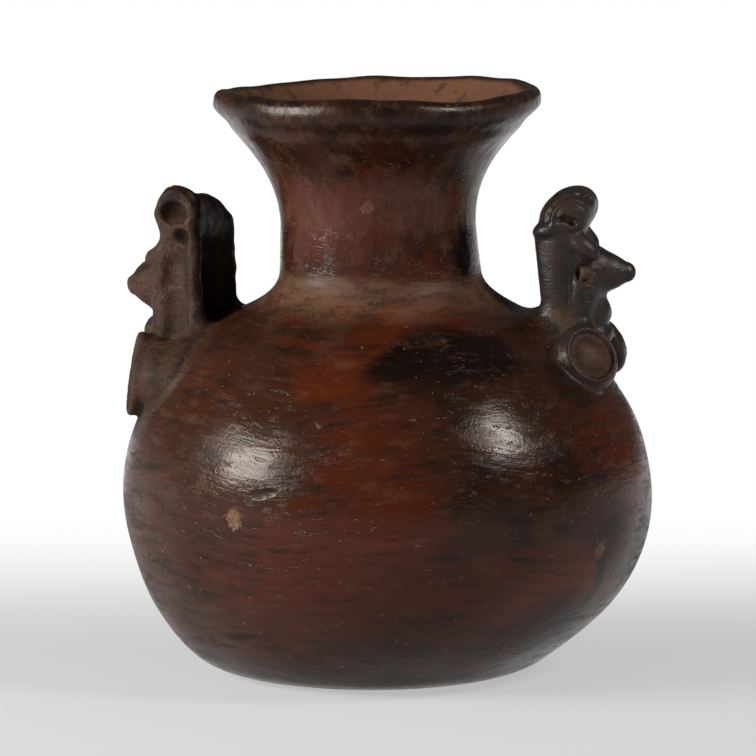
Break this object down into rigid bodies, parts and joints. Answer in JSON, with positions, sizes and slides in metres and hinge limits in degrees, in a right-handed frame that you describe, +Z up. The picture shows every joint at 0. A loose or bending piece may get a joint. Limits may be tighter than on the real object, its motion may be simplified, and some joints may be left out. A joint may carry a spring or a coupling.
{
  "type": "pottery jar",
  "caption": "Hand-built burnished clay jar with a round belly, a flared neck and stylised head-shaped lugs on the shoulder, open at the mouth.",
  "frame": {"origin": "centre of the flat underside, on the plane it stands on", "axes": "+Z up through the mouth; +X and -X towards the two lugs, which both turn 7 degrees towards +Y"},
  "size_m": [0.1799, 0.177, 0.1959],
  "materials": {
    "burnished_clay": "burnished slip, uneven sheen"
  },
  "bodies": {
    "root": {"vessel": "burnished_clay"}
  },
  "joints": []
}
